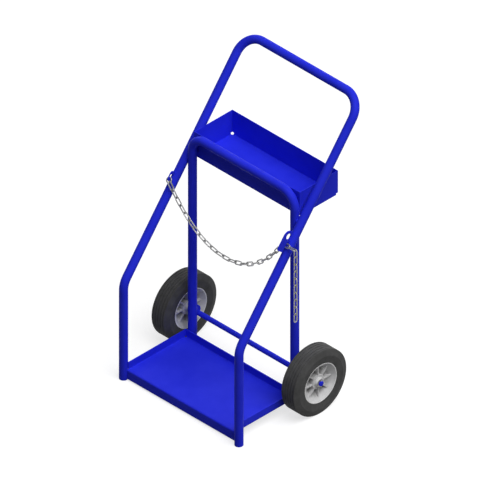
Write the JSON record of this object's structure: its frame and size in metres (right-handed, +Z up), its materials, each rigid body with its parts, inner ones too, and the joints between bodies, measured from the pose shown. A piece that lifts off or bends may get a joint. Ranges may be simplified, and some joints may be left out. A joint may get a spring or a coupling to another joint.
{
  "type": "gas cylinder cart",
  "caption": "Welded tube hand cart that leans back to a handle, with a base tray, an upper tray, wheels on a fixed axle and a retaining chain.",
  "frame": {"origin": "on the ground, under the middle of the cart's bounding box", "axes": "+Z up, +Y back towards the handle and the wheels, X along the axle; the hook plate and the chain's spare end are at +X"},
  "size_m": [0.7024, 0.6236, 1.1606],
  "materials": {
    "blue_paint": "glossy powder coat",
    "zinc_plate": "bright zinc plate",
    "tyre_rubber": "matt",
    "wheel_casting": "as cast, satin",
    "bush_plastic": "matt"
  },
  "bodies": {
    "frame": {"side_loop_tube": "blue_paint", "rear_hoop_tube": "blue_paint", "leg_foot_discs": "blue_paint", "base_tray": "blue_paint", "upper_tray": "blue_paint", "axle_bar": "blue_paint", "left_axle_bracket": "blue_paint", "right_axle_bracket": "blue_paint", "left_axle_spacer": "blue_paint", "right_axle_spacer": "blue_paint", "left_chain_tab": "blue_paint", "right_chain_hook": "blue_paint", "chain_ring": "zinc_plate", "hooked_chain_link": "zinc_plate", "side_chain_link": "zinc_plate", "left_inner_washer": "zinc_plate", "left_outer_washer": "zinc_plate", "right_inner_washer": "zinc_plate", "right_outer_washer": "zinc_plate", "left_split_pin": "zinc_plate", "right_split_pin": "zinc_plate"},
    "left_wheel": {"left_tyre": "tyre_rubber", "left_wheel_hub": "wheel_casting", "left_inner_bush": "bush_plastic", "left_outer_bush": "bush_plastic"},
    "right_wheel": {"right_tyre": "tyre_rubber", "right_wheel_hub": "wheel_casting", "right_inner_bush": "bush_plastic", "right_outer_bush": "bush_plastic"},
    "swag": {"chain_swag": "zinc_plate"},
    "tail_top": {"tail_top_link": "zinc_plate"},
    "tail": {"chain_tail": "zinc_plate"}
  },
  "joints": [
    {"name": "left_wheel_spin", "type": "hinge", "parent": "frame", "child": "left_wheel", "pos_m": [-0.3122, 0.02945, 0.127], "axis": [1, 0, 0], "continuous": true},
    {"name": "right_wheel_spin", "type": "hinge", "parent": "frame", "child": "right_wheel", "pos_m": [0.3122, 0.02945, 0.127], "axis": [1, 0, 0], "continuous": true},
    {"name": "swag_swing", "type": "hinge", "parent": "frame", "child": "swag", "pos_m": [-0.27068, -0.08185, 0.7096], "axis": [0.9998, 0.0165, 0.0088], "range_deg": [-25, 6]},
    {"name": "tail_sideways", "type": "hinge", "parent": "frame", "child": "tail_top", "pos_m": [0.3243, -0.0705, 0.71596], "axis": [0, 1, 0], "range_deg": [-60, 10]},
    {"name": "tail_fore_aft", "type": "hinge", "parent": "tail_top", "child": "tail", "pos_m": [0.3243, -0.0705, 0.68636], "axis": [1, 0, 0], "range_deg": [-60, 60]}
  ]
}
